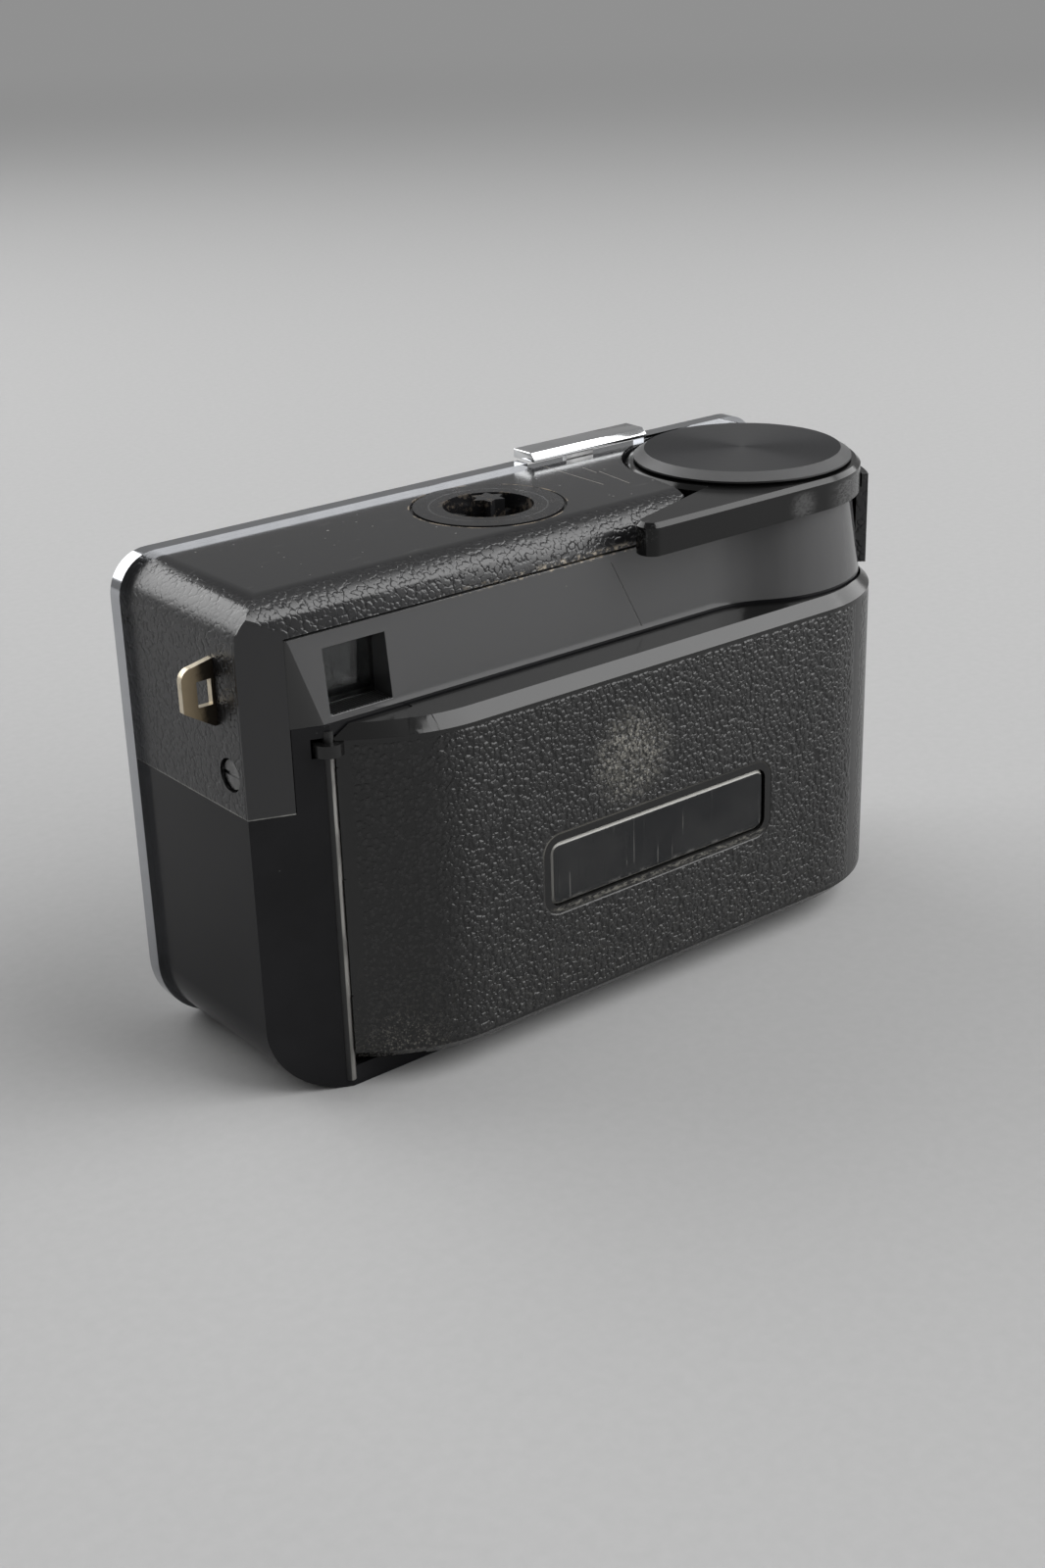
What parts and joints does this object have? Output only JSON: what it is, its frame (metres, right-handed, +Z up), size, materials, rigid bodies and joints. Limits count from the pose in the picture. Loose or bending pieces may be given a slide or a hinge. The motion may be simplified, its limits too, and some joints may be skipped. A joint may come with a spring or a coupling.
{
  "type": "cartridge film camera",
  "caption": "Small cartridge film camera with hinged film door, film window, winding lever, flash socket, shutter bar, finder eyepiece and strap lug.",
  "frame": {"origin": "middle of the base's underside: mid-width of the case, mid-depth between the rim's front and the door's back", "axes": "+X towards the finder side with the hinge and strap lug, -Y along the lens's view, +Y out of the film door, +Z up"},
  "size_m": [0.1133, 0.0526, 0.068],
  "materials": {
    "body_black": "smooth black moulding, semi-gloss",
    "frame_black": "matt black moulding",
    "tunnel_black": "dead matt black, ribbed",
    "cover_black": "glossy black top with grained sides",
    "panel_black": "polished black",
    "mount_black": "satin black",
    "ring_black": "satin black, fluted",
    "lever_black": "glossy black with worn edges",
    "socket_black": "satin black",
    "door_black": "leather grain, rubbed shiny",
    "latch_black": "satin black",
    "dog_plastic": "pale moulding",
    "gear_plastic": "natural moulding",
    "blade_black": "blackened sheet",
    "disc_metal": "dark spun finish",
    "plate_metal": "fine brushed",
    "retainer_metal": "turned",
    "rim_chrome": "polished, slightly worn",
    "bar_chrome": "polished",
    "sheet_steel": "stamped sheet",
    "spring_steel": "plain",
    "shaft_steel": "ground",
    "screw_steel": "plain",
    "bush_brass": "turned",
    "lug_brass": "aged, dull",
    "finder_glass": "clear",
    "lens_glass": "clear, coated",
    "window_clear": "clear moulding with fine scratches"
  },
  "bodies": {
    "case": {"lower_body": "body_black", "cartridge_frame": "frame_black", "frame_screws": "screw_steel", "light_tunnel": "tunnel_black", "top_cover": "cover_black", "finder_panel": "panel_black", "eyepiece_lens": "finder_glass", "finder_tunnel": "tunnel_black", "finder_front_lens": "finder_glass", "front_plate": "plate_metal", "front_rim": "rim_chrome", "lens_mount": "mount_black", "front_lens": "lens_glass", "lens_retainer": "retainer_metal", "shutter_plate": "sheet_steel", "blade_pivot": "screw_steel", "release_spring": "spring_steel", "shaft_bush": "bush_brass", "idler_stud": "shaft_steel", "socket_ring": "socket_black", "socket_stud": "shaft_steel", "hinge_pin": "shaft_steel", "strap_lug": "lug_brass", "side_screw": "screw_steel", "sensing_pin": "shaft_steel"},
    "lever": {"winding_lever": "lever_black", "hub_disc": "disc_metal", "lever_shaft": "shaft_steel", "lever_spring": "spring_steel", "takeup_dog": "dog_plastic", "lever_gear": "gear_plastic"},
    "idler": {"idler_gear": "gear_plastic"},
    "socket": {"socket_hub": "socket_black", "socket_gear": "gear_plastic"},
    "release": {"release_bar": "bar_chrome", "release_stem": "sheet_steel"},
    "blade": {"shutter_blade": "blade_black"},
    "door": {"back_door": "door_black", "door_window": "window_clear", "pressure_spring": "spring_steel", "spring_rivets": "screw_steel"},
    "latch": {"latch_slider": "latch_black"},
    "exposure": {"exposure_ring": "ring_black"},
    "sensing": {"sensing_lever": "sheet_steel"}
  },
  "joints": [
    {"name": "lever_swing", "type": "hinge", "parent": "case", "child": "lever", "pos_m": [-0.036, 0, 0.063], "axis": [0, 0, 1], "range_deg": [0, 52.5], "stiffness_Nm_per_rad": 0.02, "springref_deg": -34.38},
    {"name": "idler_turn", "type": "hinge", "parent": "case", "child": "idler", "pos_m": [-0.01236, -0.0029, 0.0537], "axis": [0, 0, 1], "range_deg": [-80, 4]},
    {"name": "socket_turn", "type": "hinge", "parent": "case", "child": "socket", "pos_m": [0.00564, -0.00511, 0.06], "axis": [0, 0, 1], "range_deg": [-4, 94]},
    {"name": "release_press", "type": "slide", "parent": "case", "child": "release", "axis": [0, 0, -1], "range_m": [0, 0.001], "stiffness_N_per_m": 400, "springref_m": -0.001, "deforming": ["release_spring"]},
    {"name": "blade_swing", "type": "hinge", "parent": "case", "child": "blade", "pos_m": [-0.0049, -0.01415, 0.0384], "axis": [0, -1, 0], "range_deg": [-2, 40]},
    {"name": "door_open", "type": "hinge", "parent": "case", "child": "door", "pos_m": [0.0441, 0.01196, 0.026], "axis": [0, 0, -1], "range_deg": [0, 105]},
    {"name": "latch_slide", "type": "slide", "parent": "case", "child": "latch", "axis": [0, 0, -1], "range_m": [0, 0.002]},
    {"name": "exposure_turn", "type": "hinge", "parent": "case", "child": "exposure", "pos_m": [-0.0049, -0.024, 0.0254], "axis": [0, 1, 0], "range_deg": [-40, 40]},
    {"name": "finger_swing", "type": "hinge", "parent": "case", "child": "sensing", "pos_m": [0.0087, 0.0024, 0.0086], "axis": [0, 0, 1], "range_deg": [0, 10], "stiffness_Nm_per_rad": 0.0006, "springref_deg": -11.46}
  ],
  "couplings": [
    {"joint": "idler_turn", "follows": "lever_swing", "ratio": -1.3333},
    {"joint": "socket_turn", "follows": "lever_swing", "ratio": 1.7143},
    {"joint": "blade_swing", "follows": "release_press", "rad_per_m": 663}
  ]
}
